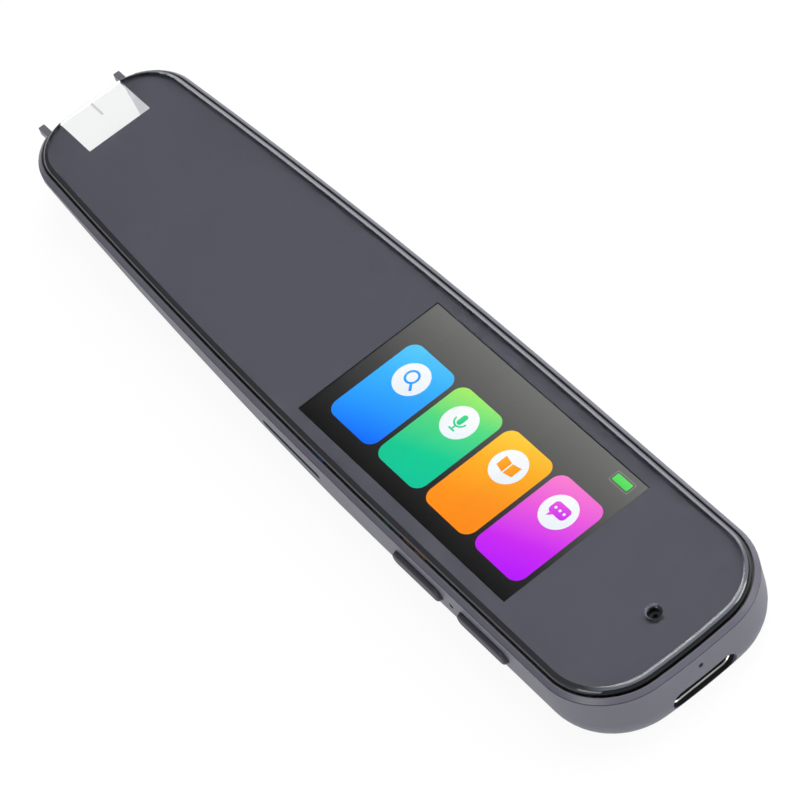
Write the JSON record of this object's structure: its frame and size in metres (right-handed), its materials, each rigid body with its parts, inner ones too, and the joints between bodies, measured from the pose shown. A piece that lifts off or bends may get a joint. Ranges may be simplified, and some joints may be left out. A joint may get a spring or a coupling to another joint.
{
  "type": "scanning pen",
  "caption": "Slim hand-held scanning pen with a long glass front, colour display, press-to-scan tip, side buttons and charging port.",
  "frame": {"origin": "middle of the flat back, below the middle of the casing's outline", "axes": "+Y towards the scanning tip, +Z out of the glass, -X towards the side buttons"},
  "size_m": [0.0312, 0.136, 0.0108],
  "materials": {
    "shell": "fine spark-textured slate grey",
    "glossy_seat": "polished black",
    "glass": "polished, clear",
    "ink": "smooth dark grey ink behind glass",
    "mark": "pale grey ink",
    "clear_glue": "clear",
    "tape": "black double-sided tape",
    "display": "lit display behind glass",
    "display_tray": "pressed steel tray",
    "ribbon": "amber polyimide film",
    "connector": "ivory nylon",
    "circuit_board": "green solder mask",
    "chip": "black moulded epoxy",
    "tin_can": "bright tin plate",
    "port_steel": "bright nickel-plated steel",
    "ceramic_white": "sintered, matt",
    "port_tongue": "black moulded nylon",
    "screw_steel": "machined steel",
    "boot_rubber": "soft black silicone",
    "lamp": "clear epoxy over yellow phosphor",
    "button_rubber": "matt soft-touch keycap",
    "plunger": "natural nylon",
    "cell_foil": "soft laminated foil",
    "wire": "red insulation",
    "speaker_plastic": "black moulded plastic",
    "mesh_cloth": "fine black dust mesh",
    "lens_plastic": "black moulded plastic",
    "lens_glass": "coated lens",
    "hood_plastic": "pale satin plastic",
    "nib_plastic": "satin dark plastic"
  },
  "bodies": {
    "casing": {"back_shell": "shell", "front_bezel": "shell", "glass_surround": "glossy_seat", "cover_glass": "glass", "glass_print": "ink", "aiming_mark": "mark", "display_adhesive": "clear_glue", "charge_light_pipe": "clear_glue", "glass_adhesive": "tape", "battery_pad": "tape", "lcd_panel": "display", "backlight_unit": "display_tray", "display_flex": "ribbon", "camera_flex": "ribbon", "ribbon_connectors": "connector", "battery_plug": "connector", "main_board": "circuit_board", "tip_board": "circuit_board", "camera_board": "circuit_board", "lamp_board": "circuit_board", "battery_board": "circuit_board", "processor_chip": "chip", "memory_chip": "chip", "power_chip": "chip", "image_sensor": "chip", "wireless_shield": "tin_can", "upper_switch": "tin_can", "lower_switch": "tin_can", "nib_switch": "tin_can", "glass_microphone": "tin_can", "end_microphone": "tin_can", "port_shell": "port_steel", "antenna_chip": "ceramic_white", "port_tongue": "port_tongue", "main_board_screws": "screw_steel", "tip_board_screws": "screw_steel", "glass_microphone_boot": "boot_rubber", "end_microphone_boot": "boot_rubber", "charge_light": "lamp", "scan_lamps": "lamp", "battery_cell": "cell_foil", "battery_leads": "wire", "speaker_box": "speaker_plastic", "speaker_driver": "speaker_plastic", "speaker_mesh": "mesh_cloth", "lens_holder": "lens_plastic", "lens_barrel": "lens_plastic", "lenses": "lens_glass", "scan_hood": "hood_plastic"},
    "upper_button": {"upper_button": "button_rubber", "upper_switch_plunger": "plunger"},
    "lower_button": {"lower_button": "button_rubber", "lower_switch_plunger": "plunger"},
    "nib": {"nib_frame": "nib_plastic", "nib_switch_plunger": "plunger"}
  },
  "joints": [
    {"name": "upper_button_press", "type": "slide", "parent": "casing", "child": "upper_button", "axis": [1, 0, 0], "range_m": [0, 0.0003], "stiffness_N_per_m": 3000, "springref_m": -0.0002},
    {"name": "lower_button_press", "type": "slide", "parent": "casing", "child": "lower_button", "axis": [1, 0, 0], "range_m": [0, 0.0003], "stiffness_N_per_m": 3000, "springref_m": -0.0002},
    {"name": "nib_press", "type": "slide", "parent": "casing", "child": "nib", "axis": [0, -1, 0], "range_m": [0, 0.0008], "stiffness_N_per_m": 800, "springref_m": -0.0005}
  ]
}
